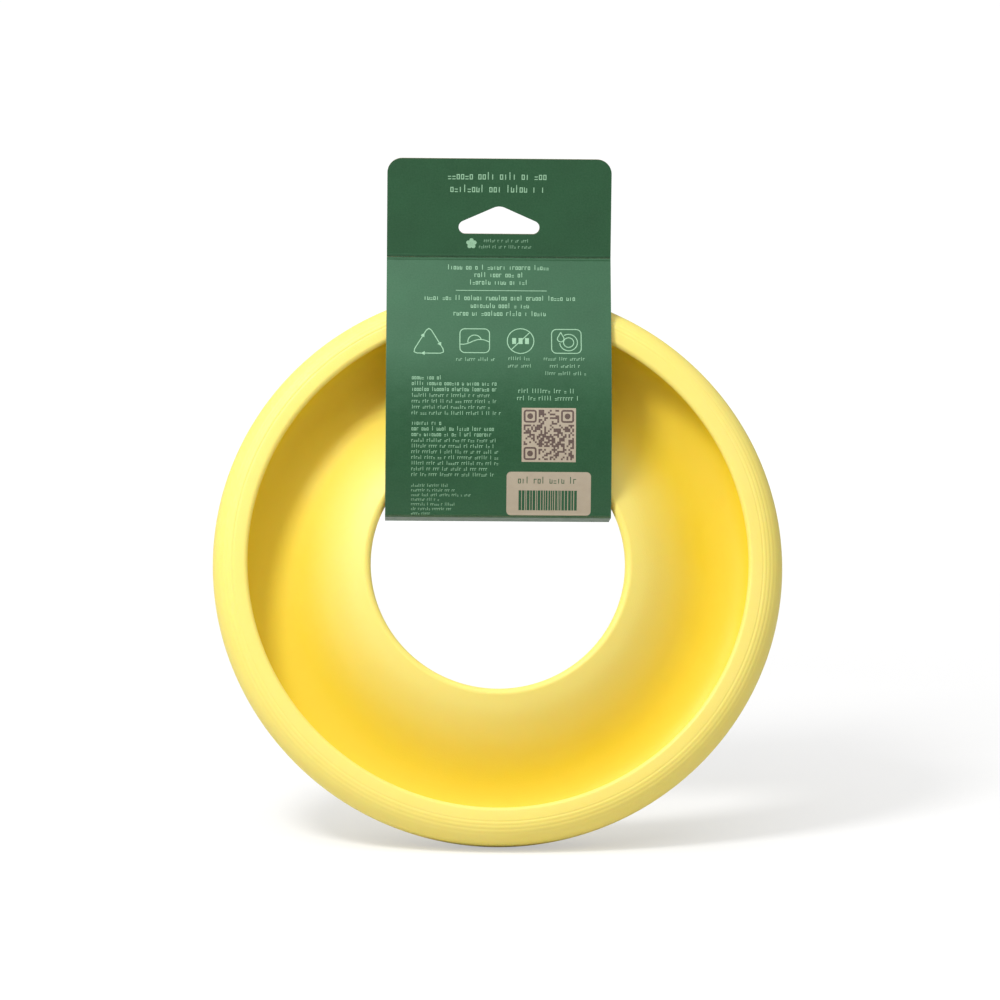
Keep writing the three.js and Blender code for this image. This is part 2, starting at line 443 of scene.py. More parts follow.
def ring_section():
    """The closed section, from the lip over the rim, along the back and out of the channel.

    Each point comes with how deep its yellow is painted: pale at the rim and at the thin edge of the
    hole, and deep down in the channel, a painted shade for the light that goes from wall to wall there.
    """
    lip_round = LIP_FLAT_INNER - LIP_INNER_RADIUS
    rim_round = RING_RADIUS - LIP_FLAT_OUTER
    shoulder = (RING_RADIUS - RIM_WALL_TAPER - CROWN_RADIUS, CROWN_DEPTH - RIM_WALL_END)
    nose = HOLE_LIP_THICKNESS / 2
    nose_radius, nose_depth = HOLE_RADIUS + nose, HOLE_LIP_FRONT + nose
    points = arc((LIP_FLAT_INNER, lip_round), (lip_round, lip_round), 180, 270, LIP_STEPS)
    rim_radii = (rim_round, RIM_WALL_START)
    points += arc((LIP_FLAT_OUTER, RIM_WALL_START), rim_radii, 270, 360, GROOVED_STEPS)
    wall_end = Vector((RING_RADIUS - RIM_WALL_TAPER, RIM_WALL_END))
    points += [points[-1].lerp(wall_end, i / WALL_STEPS) for i in range(1, WALL_STEPS)]
    points += arc((CROWN_RADIUS, RIM_WALL_END), shoulder, 0, 90, SHOULDER_STEPS)
    back_end = (nose_radius, nose_depth + nose)
    points += spline([(CROWN_RADIUS, CROWN_DEPTH), *WEB_BACK, back_end], BACK_STEPS)[1:]
    points += arc((nose_radius, nose_depth), (nose, nose), 90, 270, NOSE_STEPS)[1:]
    depths_of_colour = [RIM_COLOUR_DEPTH] * len(points)
    floor_knots = [*WEB_FRONT, (CHANNEL_RADIUS, CHANNEL_DEPTH), *CHANNEL_WALL]
    lip_end = (LIP_INNER_RADIUS, lip_round)
    channel = spline([(nose_radius, HOLE_LIP_FRONT), *floor_knots, lip_end], CHANNEL_STEPS)[1:-1]
    for radius, depth in channel:
        inward = smooth((radius - nose_radius) / (CHANNEL_RADIUS - nose_radius))
        below_lip = smooth((depth - lip_round) / RIM_WALL_START)
        depths_of_colour.append(inward * below_lip)
    return points + channel, depths_of_colour


def raised(points):
    """The section with its fine relief, moved along the section's own outward direction."""
    count = len(points)
    moved = []
    for i, point in enumerate(points):
        along = (points[(i + 1) % count] - points[i - 1]).normalized()
        outward = Vector((along.y, -along.x))
        moved.append(point + outward * relief(*point))
    return moved


def mesh_object(name, vertices, faces, materials):
    """A mesh made from points and faces, as an object in the scene."""
    mesh = bpy.data.meshes.new(name)
    mesh.from_pydata(vertices, [], faces)
    mesh.validate()
    for material in materials:
        mesh.materials.append(material)
    piece = bpy.data.objects.new(name, mesh)
    bpy.context.scene.collection.objects.link(piece)
    return piece


def ring_vertices(section):
    """The section's points at every turn round the ring's axis."""
    up_slope = RING_AXIS.cross(X_AXIS)
    vertices = []
    for turn in range(RING_SEGMENTS):
        angle = 2 * math.pi * turn / RING_SEGMENTS
        outward = X_AXIS * math.cos(angle) + up_slope * math.sin(angle)
        vertices += [
            RING_MIDDLE + (outward * radius - RING_AXIS * depth) * MM for radius, depth in section
        ]
    return vertices


def ring_faces(section):
    """Faces between neighbouring turns, with their map: distance along the section and round."""
    count = len(section)
    marks = [0.0]
    for before, after in zip(section, section[1:] + section[:1]):
        marks.append(marks[-1] + (after - before).length * MM)
    faces, flat_places = [], []
    for turn in range(RING_SEGMENTS):
        here, there = turn * count, ((turn + 1) % RING_SEGMENTS) * count
        start = 2 * math.pi * RING_RADIUS * MM * turn / RING_SEGMENTS
        end = 2 * math.pi * RING_RADIUS * MM * (turn + 1) / RING_SEGMENTS
        for i in range(count):
            j = (i + 1) % count
            faces.append((here + i, here + j, there + j, there + i))
            near, far = marks[i], marks[i + 1]
            flat_places += [near, start, far, start, far, end, near, end]
    return faces, flat_places


def make_ring(material):
    section, depths_of_colour = ring_section()
    section = raised(section)
    faces, flat_places = ring_faces(section)
    ring = mesh_object("ring", ring_vertices(section), faces, [material])
    ring.data.uv_layers.new(name="section").data.foreach_set("uv", flat_places)
    # Painted shade: how deep each point's yellow is painted, deepest down in the channel.
    painted_channel_shade = ring.data.attributes.new("painted_channel_shade", "FLOAT", "POINT")
    painted_channel_shade.data.foreach_set("value", depths_of_colour * RING_SEGMENTS)
    ring.data.shade_smooth()
    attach(ring, "ring")
    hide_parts("ring_body")


# ---- the card's side view


def bent_path(start, runs, step=0.5):
    """Points of a board seen from the side, along runs of (length, first heading, last heading)."""
    points = [start.copy()]
    for length, first, last in runs:
        count = math.ceil(length / step)
        for i in range(count):
            heading = math.radians(first + (last - first) * (i + 0.5) / count)
            move = Vector((math.cos(heading), math.sin(heading))) * (length / count)
            points.append(points[-1] + move)
    return points


def straight_path(start, end, step=0.5):
    count = math.ceil((end - start).length / step)
    return [start.lerp(end, i / count) for i in range(count + 1)]


class Strip:
    """A path that can be asked for its point and its outward direction at a distance along it."""

    def __init__(self, points):
        self.points = points
        self.marks = [0.0]
        for before, after in zip(points, points[1:]):
            self.marks.append(self.marks[-1] + (after - before).length)
        self.length = self.marks[-1]

    def at(self, distance):
        last = len(self.points) - 2
        i = min(last, max(0, sum(mark <= distance for mark in self.marks) - 1))
        part = (distance - self.marks[i]) / (self.marks[i + 1] - self.marks[i])
        point = self.points[i].lerp(self.points[i + 1], part)
        behind, ahead = self.points[max(i - 2, 0)], self.points[min(i + 3, last + 1)]
        along = (ahead - behind).normalized()
        return point, Vector((along.y, -along.x))


def header_front_strip():
    top = HEADER_CREASE_FRONT + Vector((0, HEADER_HEIGHT))
    return Strip(straight_path(top, HEADER_CREASE_FRONT))


def front_strip():
    points = bent_path(HEADER_CREASE_FRONT, FRONT_RUNS)
    return Strip(points[:-1] + [BOTTOM_CREASE_FRONT])


def bottom_strip():
    return Strip(straight_path(BOTTOM_CREASE_FRONT, BOTTOM_CREASE_BACK))


def back_strip():
    points = bent_path(HEADER_CREASE_BACK, BACK_RUNS)
    points += straight_path(points[-1], BOTTOM_CREASE_BACK)[1:]
    return Strip(points[::-1])


def header_back_strip():
    top = HEADER_CREASE_BACK + Vector((0, HEADER_HEIGHT))
    return Strip(straight_path(HEADER_CREASE_BACK, top))


# ---- flat shapes on the card: u runs across from its middle, v along the strip, in mm


def rectangle(left, top, right, bottom):
    return [(left, top), (right, top), (right, bottom), (left, bottom)]


def arc_points(centre, radius, start, end, steps):
    angles = [math.radians(start + (end - start) * i / steps) for i in range(steps + 1)]
    return [(centre[0] + radius * math.cos(a), centre[1] + radius * math.sin(a)) for a in angles]


def disc(centre, radius, steps=16):
    return arc_points(centre, radius, 0, 360, steps)[:-1]


def rounded_rectangle(left, top, right, bottom, radius, steps=5):
    corners = [
        ((right - radius, top + radius), -90),
        ((right - radius, bottom - radius), 0),
        ((left + radius, bottom - radius), 90),
        ((left + radius, top + radius), 180),
    ]
    points = []
    for centre, start in corners:
        points += arc_points(centre, radius, start, start + 90, steps)
    return points


def stroke(points, width, closed=False):
    """A drawn line, as one slightly overlapping rectangle for each of its straight parts."""
    points = [Vector(point) for point in points]
    ends = list(zip(points, points[1:] + points[:1])) if closed else list(zip(points, points[1:]))
    parts = []
    for start, end in ends:
        along = (end - start).normalized() * width / 2
        side = Vector((-along.y, along.x))
        first, last = start - along * 0.3, end + along * 0.3
        parts.append([first - side, last - side, last + side, first + side])
    return parts


# Marks that stand for letters. Their sizes are parts of the line's x-height, and the gap between
# two of them is in stem widths.
MARKS = ("stem", "tall", "box", "box", "box", "hook", "cup", "dash")
FINE_MARKS = ("tall", "dash", "hook", "hook")
MARK_STEM = 0.17
MARK_PITCH = 0.84
MARK_GAP = 1.3
TALL_MARK = 1.45


class Print:
    """What is printed on one panel: pale ink, patches left bare, and green or brown over those."""

    def __init__(self):
        self.pale = []
        self.bare = []
        self.over = []
        self.brown = []


def type_mark(mark, x, base, x_height):
    """The strokes of one mark that stands for a letter, as rectangles."""
    stem, pitch, tall = MARK_STEM * x_height, MARK_PITCH * x_height, TALL_MARK * x_height
    right, top = x + pitch - MARK_GAP * stem, base - x_height
    shapes = []
    if mark == "stem":
        shapes.append(rectangle(x + stem, top, x + 2 * stem, base))
    if mark == "tall":
        shapes.append(rectangle(x + stem, base - tall, x + 2 * stem, base))
    if mark == "dash":
        shapes.append(rectangle(x, top + 2 * stem, right, top + 3 * stem))
        shapes.append(rectangle(x, base - stem, right, base))
    if mark in ("hook", "box", "cup"):
        shapes.append(rectangle(x, top, x + stem, base))
    if mark in ("hook", "box"):
        shapes.append(rectangle(x + stem, top, right, top + stem))
    if mark in ("box", "cup"):
        shapes.append(rectangle(right - stem, top + stem, right, base))
        shapes.append(rectangle(x + stem, base - stem, right - stem, base))
    return shapes


def greeked_line(draw, left, base, width, x_height, fine=False):
    """A row of unreadable marks that stands for a line of small type."""
    pitch = MARK_PITCH * x_height
    shapes = []
    x = left
    word = draw.randint(3, 8)
    while x + pitch <= left + width:
        mark = draw.choice(FINE_MARKS if fine else MARKS)
        if word == 0:
            word = draw.randint(2, 8)
        else:
            shapes += type_mark(mark, x, base, x_height)
        x += pitch
        word -= 1
    return shapes


def centred_line(draw, middle, base, width, x_height, fine=False):
    return greeked_line(draw, middle - width / 2, base, width, x_height, fine)


def blossom(centre, size):
    """A small five-petalled mark."""
    petals = arc_points(centre, size * 0.3, -90, 270, 5)[:-1]
    return [disc(petal, size * 0.2, 10) for petal in petals] + [disc(centre, size * 0.12, 8)]


def icon_arrows(u, v):
    """Three bars with arrow heads, chasing one another round a triangle."""
    shapes = []
    corners = arc_points((u, v + 1.6), 7.9, -90, 270, 3)[:-1]
    for i in range(3):
        start, end = Vector(corners[i]), Vector(corners[(i + 1) % 3])
        first, last = start.lerp(end, 0.16), start.lerp(end, 0.62)
        along = (end - start).normalized()
        side = Vector((-along.y, along.x)) * 0.85
        shapes += stroke([first, last], ICON_LINE)
        shapes.append([last - side, last + along * 1.6, last + side])
        outer = start.lerp(end, 0.84)
        shapes += stroke([last + along * 1.5, outer], ICON_LINE)
        turn = end.lerp(Vector(corners[(i + 2) % 3]), 0.16)
        middle = end.lerp(Vector((u, v + 1.6)), 0.13)
        shapes += stroke([outer, middle, turn], ICON_LINE)
    return shapes


def icon_frame(u, v):
    return stroke(rounded_rectangle(u - 6, v - 5.2, u + 6, v + 5.2, 2), ICON_LINE, closed=True)


def icon_afloat(u, v):
    """A half disc above a wave, in a rounded frame."""
    steps = 12
    wave = [
        (u - 5.8 + 11.6 * i / steps, v + 0.5 - 1.1 * math.sin(math.pi * (i / steps * 1.6 - 0.62)))
        for i in range(steps + 1)
    ]
    hump = arc_points((u, v + 0.3), 2.8, 170, 345, 10)
    return icon_frame(u, v) + stroke(wave, ICON_LINE) + stroke(hump, ICON_LINE)


def icon_none_of_it(u, v):
    """A barred circle over three short blocks."""
    circle = stroke(disc((u, v), 5.4, 28), ICON_LINE, closed=True)
    bar = stroke([(u - 3.8, v + 3.8), (u + 3.8, v - 3.8)], ICON_LINE)
    blocks = [rectangle(u + x - 0.8, v - 1.3, u + x + 0.8, v + 1.3) for x in (-2.6, 0, 2.6)]
    return circle + bar + blocks


def icon_wash(u, v):
    """A drop beside a plate, in a rounded frame."""
    plate = arc_points((u + 0.9, v + 0.5), 3.6, -120, 175, 22)
    dish = stroke(disc((u + 0.9, v + 0.5), 2.1, 16), ICON_LINE, closed=True)
    drop = arc_points((u - 2.3, v - 1.1), 1.35, -20, 200, 9) + [(u - 2.3, v - 3.9)]
    return icon_frame(u, v) + stroke(plate, ICON_LINE) + dish + stroke(drop, ICON_LINE, closed=True)


# The print's places are in mm, with u across from the card's middle and v down from the top edge
# of its panel. A line of type is its middle, base line, width and x-height, and a caption leaves
# its x-height out.
HEADER_SEED = 11
HEADER_LINES = [(0, 8.5, 42, 2.1), (-0.5, 13.7, 39, 2.1)]
HEADER_SMALL_LINES = [(3.4, 34.1, 19, 0.95), (3.4, 36.6, 23, 0.95)]
BLOSSOM_PLACE = (-11.2, 34.7)
BLOSSOM_SIZE = 4.4

FRONT_SEED = 23
TOP_LINES = [(0.6, 5.6, 43, 1.5), (0.6, 8.9, 21, 1.5), (0.6, 12.2, 25, 1.5)]
TOP_RULE = (-17.5, 14.7, 19.5, 14.95)
MIDDLE_LINES = [(0.6, 19.1, 62, 1.5), (0.6, 22.5, 24, 1.5), (0.6, 25.9, 38, 1.5)]
ICON_LINE = 0.36
ICON_ROW = 36.9
ICON_FIRST = -28.4
ICON_PITCH = 18.6
CAPTIONS = [
    (-9.3, 45.6, 16), (8.9, 45.2, 10), (8.9, 48.3, 10.5), (27.2, 45.2, 18), (27.2, 48.3, 13),
    (27.2, 51.4, 17),
]
CAPTION_X_HEIGHT = 1.05

# Blocks of notes: first base line, lines, bold lines and how much their pitch is squeezed.
NOTES = [(53.6, 7, 3, 1.0), (72.3, 10, 3, 0.95)]
NOTE_LEFT = -35.2
NOTE_WIDTH = 37
NOTE_PITCH = 2.42
NOTE_X_HEIGHT = 1.05
NOTE_HEADING = 0.34
BOLD_SIZE = 1.15
IMPRINT_TOP = 97.3
IMPRINT_PITCH = 1.9
IMPRINT_X_HEIGHT = 0.85
IMPRINT_WIDTHS = [15, 18, 25, 12, 18, 17, 9]

# The block of random dots, its size counted in cells, and the patch of random bars.
PATCH_CAPTIONS = [(20.4, 59.0, 25), (20.4, 62.0, 26)]
PATCH_X_HEIGHT = 1.3
DOT_BLOCK = (9.3, 65.1)
DOT_BLOCK_SIZE = 21.9
DOT_CELLS = 29
DOT_CORNER_CELLS = 7
DOT_CORNER_DISC = 1.6
DOT_SHARE = 0.5
BAR_PATCH = (3.3, 91.0, 37.4, 108.7)
BAR_PATCH_CORNER = 1.8
BAR_CAPTION = (7.9, 95.7, 24.8, 1.9)
BARS = (8.2, 98.5, 32.8, 106.6)
BAR_WIDTHS = (0.4, 0.6, 0.8, 1.1)
BAR_GAPS = (0.22, 0.22, 0.3, 0.5)
BAR_END_SPACE = 1.2

BACK_SEED = 31
BACK_PICTURE = (0, 50)
BACK_PICTURE_RADII = (24, 11)
BACK_PICTURE_LINE = 0.9
SPEED_LINES = (28, 30.4, 32.8)
SPEED_LINE = 0.7
BACK_LINES = [(0, 94, 52, 2.4), (0, 100.5, 36, 2.4)]
HEADER_BACK_SEED = 37
HEADER_BACK_LINE = (0, 10.5, 40, 2.4)


def header_print():
    draw = random.Random(HEADER_SEED)
    ink = Print()
    for line in HEADER_LINES:
        ink.pale += centred_line(draw, *line)
    for line in HEADER_SMALL_LINES:
        ink.pale += centred_line(draw, *line, fine=True)
    ink.pale += blossom(BLOSSOM_PLACE, BLOSSOM_SIZE)
    return ink


def corner_ring(u, v, cell):
    """A rounded square ring with a disc in it, whose corner is at u, v."""
    side, half = DOT_CORNER_CELLS * cell, cell / 2
    outline = rounded_rectangle(u + half, v + half, u + side - half, v + side - half, cell)
    middle = (u + side / 2, v + side / 2)
    return stroke(outline, cell, closed=True) + [disc(middle, DOT_CORNER_DISC * cell, 12)]


def dot_block(draw):
    """A bare square with seeded random dots in it, and a ring in three of its corners."""
    left, top = DOT_BLOCK
    cell = DOT_BLOCK_SIZE / DOT_CELLS
    far = DOT_CELLS - DOT_CORNER_CELLS
    square = rectangle(left, top, left + DOT_BLOCK_SIZE, top + DOT_BLOCK_SIZE)
    shapes = []
    for across, down in ((1, 1), (far - 1, 1), (1, far - 1)):
        shapes += corner_ring(left + across * cell, top + down * cell, cell)
    near_clear, far_clear = DOT_CORNER_CELLS + 1, far - 2
    for row in range(1, DOT_CELLS - 1):
        run = 0
        for column in range(1, DOT_CELLS):
            above = row <= near_clear and (column <= near_clear or column >= far_clear)
            in_corner = above or (row >= far_clear and column <= near_clear)
            dark = column < DOT_CELLS - 1 and not in_corner and draw.random() < DOT_SHARE
            if dark:
                run += 1
            elif run:
                u, v = left + (column - run) * cell, top + row * cell
                shapes.append(rectangle(u, v, u + run * cell, v + cell))
                run = 0
    return square, shapes


def bar_block(draw):
    """Upright bars of seeded random widths."""
    left, top, right, bottom = BARS
    shapes = []
    x = left
    while x < right - BAR_END_SPACE:
        width = draw.choice(BAR_WIDTHS)
        shapes.append(rectangle(x, top, x + width, bottom))
        x += width + draw.choice(BAR_GAPS)
    return shapes


def front_print():
    draw = random.Random(FRONT_SEED)
    ink = Print()
    for line in TOP_LINES + MIDDLE_LINES:
        ink.pale += centred_line(draw, *line)
    ink.pale.append(rectangle(*TOP_RULE))
    for i, icon in enumerate((icon_arrows, icon_afloat, icon_none_of_it, icon_wash)):
        ink.pale += icon(ICON_FIRST + i * ICON_PITCH, ICON_ROW)
    for caption in CAPTIONS:
        ink.pale += centred_line(draw, *caption, CAPTION_X_HEIGHT, fine=True)
    for first, count, bold, squeeze in NOTES:
        for i in range(count):
            width = NOTE_WIDTH * (NOTE_HEADING if i == 0 else draw.uniform(0.86, 1.0))
            x_height = NOTE_X_HEIGHT * (BOLD_SIZE if i < bold else 1.0)
            base = first + i * NOTE_PITCH * squeeze
            ink.pale += greeked_line(draw, NOTE_LEFT, base, width, x_height, fine=i >= bold)
    for i, width in enumerate(IMPRINT_WIDTHS):
        base = IMPRINT_TOP + i * IMPRINT_PITCH
        ink.pale += greeked_line(draw, NOTE_LEFT, base, width, IMPRINT_X_HEIGHT, fine=True)
    for caption in PATCH_CAPTIONS:
        ink.pale += centred_line(draw, *caption, PATCH_X_HEIGHT, fine=True)
    square, dots = dot_block(draw)
    ink.bare += [square, rounded_rectangle(*BAR_PATCH, BAR_PATCH_CORNER)]
    ink.brown += dots
    ink.over += bar_block(draw)
    ink.over += greeked_line(draw, *BAR_CAPTION)
    return ink


def seen_from_behind(ink, length):
    """Turns a print by half a turn, for a panel whose strip runs up the back of the card."""
    ink.pale = [[(-u, length - v) for u, v in polygon] for polygon in ink.pale]
    return ink


def back_print(length):
    """A plain picture of a ring in flight, with two lines of type under it."""
    draw = random.Random(BACK_SEED)
    ink = Print()
    for radius in BACK_PICTURE_RADII:
        ink.pale += stroke(disc(BACK_PICTURE, radius, 64), BACK_PICTURE_LINE, closed=True)
    for radius in SPEED_LINES:
        ink.pale += stroke(arc_points(BACK_PICTURE, radius, 130, 172, 14), SPEED_LINE)
    for line in BACK_LINES:
        ink.pale += centred_line(draw, *line)
    return seen_from_behind(ink, length)


def header_back_print(length):
    draw = random.Random(HEADER_BACK_SEED)
    ink = Print()
    ink.pale += centred_line(draw, *HEADER_BACK_LINE)
    return seen_from_behind(ink, length)


# ---- cutting and bending the board

SHEET, HOLE, PALE, BARE, OVER, BROWN = range(6)
GREEN_SLOT, PALE_SLOT, BARE_SLOT, BROWN_SLOT = range(4)
PRINTED_SIDE, BARE_SIDE = 1, -1
MERGE_DISTANCE = 1e-4
SLOT_OF_KIND = {
    SHEET: GREEN_SLOT, PALE: PALE_SLOT, BARE: BARE_SLOT, OVER: GREEN_SLOT, BROWN: BROWN_SLOT,
}


def anticlockwise(polygon):
    area = sum(a[0] * b[1] - b[0] * a[1] for a, b in zip(polygon, list(polygon[1:]) + [polygon[0]]))
    return list(polygon) if area > 0 else list(polygon)[::-1]


def cut_sheet(outline, holes, ink, rows):
    """Triangles of the flat sheet that follow its outline, its print and its bend rows."""
    points, faces, kinds, edges = [], [], [], []
    groups = [
        (SHEET, [outline]), (HOLE, holes), (PALE, ink.pale), (BARE, ink.bare), (OVER, ink.over),
        (BROWN, ink.brown),
    ]
    for kind, polygons in groups:
        for polygon in polygons:
            start = len(points)
            points += [Vector(point) for point in anticlockwise(polygon)]
            faces.append(list(range(start, len(points))))
            kinds.append(kind)
    half = CARD_WIDTH / 2
    for row in rows:
        edges.append((len(points), len(points) + 1))
        points += [Vector((-half, row)), Vector((half, row))]
    low, high = min(v for _, v in outline), max(v for _, v in outline)
    for column in (WEAR_REACH - half, half - WEAR_REACH):
        edges.append((len(points), len(points) + 1))
        points += [Vector((column, low)), Vector((column, high))]
    made = delaunay_2d_cdt(points, edges, faces, 0, MERGE_DISTANCE, True)
    flat, triangles, origins = made[0], made[2], made[5]
    kept, slots = [], []
    for triangle, origin in zip(triangles, origins):
        found = {kinds[i] for i in origin}
        if SHEET in found and HOLE not in found:
            kept.append(triangle)
            slots.append(SLOT_OF_KIND[max(found)])
    return flat, kept, slots


def border(triangles):
    """The sheet's edges that belong to one triangle only, each in its triangle's direction."""
    directed = {(t[i], t[(i + 1) % 3]) for t in triangles for i in range(3)}
    return [(a, b) for a, b in directed if (b, a) not in directed]


def board_half(distance):
    """Half of the board's gauge near a crease, where the crushed fold is thinner."""
    shoulder = smooth((distance - CREASE_END) / CREASE_SHOULDER)
    return CREASE_HALF + (BOARD / 2 - CREASE_HALF) * shoulder


def bead(distance):
    """How far the scored bead beside a crease stands out of the printed face."""
    away = (distance - BEAD_PLACE) / BEAD_WIDTH
    return BEAD_HEIGHT * math.exp(-away * away)


def sheet_rows(length, creased_start, creased_end):
    """Where the sheet is divided across: the bend steps, and close rows beside each crease."""
    rows = {round(i * BEND_STEP, 3) for i in range(2, int(length / BEND_STEP) - 1)}
    if creased_start:
        rows |= set(CREASE_ROWS)
    if creased_end:
        rows |= {length - row for row in CREASE_ROWS}
    return sorted(rows)


def compact(flat, triangles):
    """Leaves out the points that no triangle uses, and renumbers the triangles."""
    used = sorted({i for triangle in triangles for i in triangle})
    place_of = {old: new for new, old in enumerate(used)}
    triangles = [tuple(place_of[i] for i in triangle) for triangle in triangles]
    return [flat[i] for i in used], triangles


class Board:
    """A flat cut panel, bent along its strip, given the board's gauge and rounded at its creases.

    The board is crushed thin at a crease and stops just short of its line, so that two panels can
    turn against each other about it without meeting.
    """

    def __init__(self, strip, creased, flat, triangles, slots):
        self.strip = strip
        self.creased = creased
        self.flat = flat
        self.count = len(flat)
        self.places = [strip.at(v) for u, v in flat]
        self.vertices = self.face_points(PRINTED_SIDE) + self.face_points(BARE_SIDE)
        self.faces = [triangle[::-1] for triangle in triangles]
        self.faces += [tuple(i + self.count for i in triangle) for triangle in triangles]
        self.slots = slots + [BARE_SLOT] * len(triangles)
        self.fold_arcs = {}
        self.close_edges(border(triangles))
        self.cap_folds()

    def fold_distance(self, v):
        """How far a place along the strip is from the nearest crease."""
        at_start, at_end = self.creased
        return min(v if at_start else math.inf, self.strip.length - v if at_end else math.inf)

    def on_crease(self, i):
        return self.fold_distance(self.flat[i].y) < CREASE_END + ON_LINE

    def face_points(self, side):
        """The points of the printed or of the bare face, half the board's gauge out."""
        points = []
        for (u, v), (point, outward) in zip(self.flat, self.places):
            away = self.fold_distance(v)
            offset = side * board_half(away)
            if side == PRINTED_SIDE:
                offset += bead(away)
            place = point + outward * offset
            points.append(Vector((u, place.x, place.y)) * MM)
        return points

    def fold_arc(self, i):
        """Vertices round the folded end of the board, from its printed face to its bare face."""
        if i not in self.fold_arcs:
            point, outward = self.places[i]
            forward = 1 if self.flat[i].y > self.strip.length / 2 else -1
            ahead = Vector((-outward.y, outward.x)) * forward
            inner = []
            for turn in FOLD_TURNS:
                angle = math.radians(turn)
                place = point + (outward * math.cos(angle) + ahead * math.sin(angle)) * CREASE_HALF
                inner.append(len(self.vertices))
                self.vertices.append(Vector((self.flat[i].x, place.x, place.y)) * MM)
            self.fold_arcs[i] = [i, *inner, i + self.count]
        return self.fold_arcs[i]

    def close_edges(self, edges):
        """Joins the two faces: round the fold at a crease, and straight across at a cut edge."""
        for a, b in edges:
            if self.on_crease(a) and self.on_crease(b):
                first, second = self.fold_arc(a), self.fold_arc(b)
                for k in range(len(first) - 1):
                    self.faces.append((first[k], second[k], second[k + 1], first[k + 1]))
                    self.slots.append(GREEN_SLOT if k < len(first) // 2 else BARE_SLOT)
            else:
                self.faces.append((a, b, b + self.count, a + self.count))
                self.slots.append(BARE_SLOT)

    def cap_folds(self):
        """Closes each folded end where it comes out at the card's side edges."""
        for i, arc_vertices in self.fold_arcs.items():
            u, v = self.flat[i]
            if abs(abs(u) - CARD_WIDTH / 2) < ON_LINE:
                ends_forward = (u > 0) == (v > self.strip.length / 2)
                self.faces.append(tuple(arc_vertices if ends_forward else arc_vertices[::-1]))
                self.slots.append(BARE_SLOT)

    def add_flat_map(self, mesh):
        """A UV map that holds each point's place on the flat card, in metres."""
        layer = mesh.uv_layers.new(name="flat")
        for loop in mesh.loops:
            i = loop.vertex_index
            on_face = i < 2 * self.count
            u, v = self.flat[i % self.count] if on_face else (self.vertices[i].x / MM, 0)
            layer.data[loop.index].uv = (u * MM, v * MM)

    def add_wear(self, mesh):
        """How much each point is rubbed: most on the folds and along the cut side edges."""
        face_wear = []
        for u, v in self.flat:
            at_fold = math.exp(-((self.fold_distance(v) / WEAR_REACH) ** 2))
            at_edge = EDGE_WEAR if abs(u) > CARD_WIDTH / 2 - ON_LINE else 0
            face_wear.append(max(at_fold, at_edge))
        wear = face_wear * 2 + [1.0] * (len(self.vertices) - 2 * self.count)
        mesh.attributes.new("wear", "FLOAT", "POINT").data.foreach_set("value", wear)


def bend_sheet(name, strip, outline, holes, ink, creased, materials):
    """Cuts one panel of the card out flat, bends it along its strip and makes it a piece."""
    flat, triangles, slots = cut_sheet(outline, holes, ink, sheet_rows(strip.length, *creased))
    flat, triangles = compact(flat, triangles)
    board = Board(strip, creased, flat, triangles, slots)
    piece = mesh_object(name, board.vertices, board.faces, materials)
    piece.data.polygons.foreach_set("material_index", board.slots)
    board.add_flat_map(piece.data)
    board.add_wear(piece.data)
    return piece


def panel_outline(length):
    half = CARD_WIDTH / 2
    return rectangle(-half, CREASE_END, half, length - CREASE_END)


def from_crease(points, crease_v):
    """Turns heights above the crease into places along a strip whose crease is at crease_v."""
    if crease_v == 0:
        return points
    return [(u, crease_v - height) for u, height in points]


def header_outline(crease_v):
    """The header with round corners at the end away from its crease, which is at crease_v."""
    half, corner = CARD_WIDTH / 2, HEADER_CORNER
    points = [(-half, CREASE_END), (half, CREASE_END)]
    points += arc_points((half - corner, HEADER_HEIGHT - corner), corner, 0, 90, 12)
    points += arc_points((corner - half, HEADER_HEIGHT - corner), corner, 90, 180, 12)
    return from_crease(points, crease_v)


def hang_hole(crease_v):
    """The slot for a display hook: flat below, round at its ends, rising to a round peak."""
    half, low, high = HOLE_WIDTH / 2, HOLE_BOTTOM, HOLE_BOTTOM + HOLE_HEIGHT
    end = HOLE_END_RADIUS
    steep = 90 - HOLE_ROOF_SLOPE
    drop = HOLE_PEAK_HALF * math.tan(math.radians(HOLE_ROOF_SLOPE))
    points = arc_points((half - end, low + end), end, -90, steep, 12)
    steps = 8
    for i in range(steps + 1):
        part = 1 - 2 * i / steps
        points.append((HOLE_PEAK_HALF * part, high - drop / 2 * part * part))
    points += arc_points((end - half, low + end), end, 180 - steep, 270, 12)
    return from_crease(points, crease_v)


def make_card(materials):
    """The five board panels. Each one follows the body that MuJoCo moves it with."""
    back, header_back = back_strip(), header_back_strip()
    plans = [
        ("header_front_board", "header_front", header_front_strip(), header_print(), (False, True)),
        ("front_panel_board", "front_panel", front_strip(), front_print(), (True, True)),
        ("bottom_panel_board", "bottom_panel", bottom_strip(), Print(), (True, True)),
        ("back_panel_board", "back_panel", back, back_print(back.length), (True, True)),
        (
            "header_back_board", "header_back", header_back,
            header_back_print(header_back.length), (True, False),
        ),
    ]
    for name, node, strip, ink, creased in plans:
        if node.startswith("header"):
            crease_v = strip.length if creased[1] else 0
            outline, holes = header_outline(crease_v), [hang_hole(crease_v)]
        else:
            outline, holes = panel_outline(strip.length), []
        piece = bend_sheet(name, strip, outline, holes, ink, creased, materials)
        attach(piece, node)
        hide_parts(node)


# ---- studio

CAMERA_DISTANCE = 1.9
CAMERA_AZIMUTH = -1.32
CAMERA_ELEVATION = 8.85
CAMERA_ROLL = 0.59
CAMERA_LENS = 170.2
AIM_ABOVE_MIDDLE = 0.0237
AIM_RIGHT_OF_MIDDLE = 0.0004

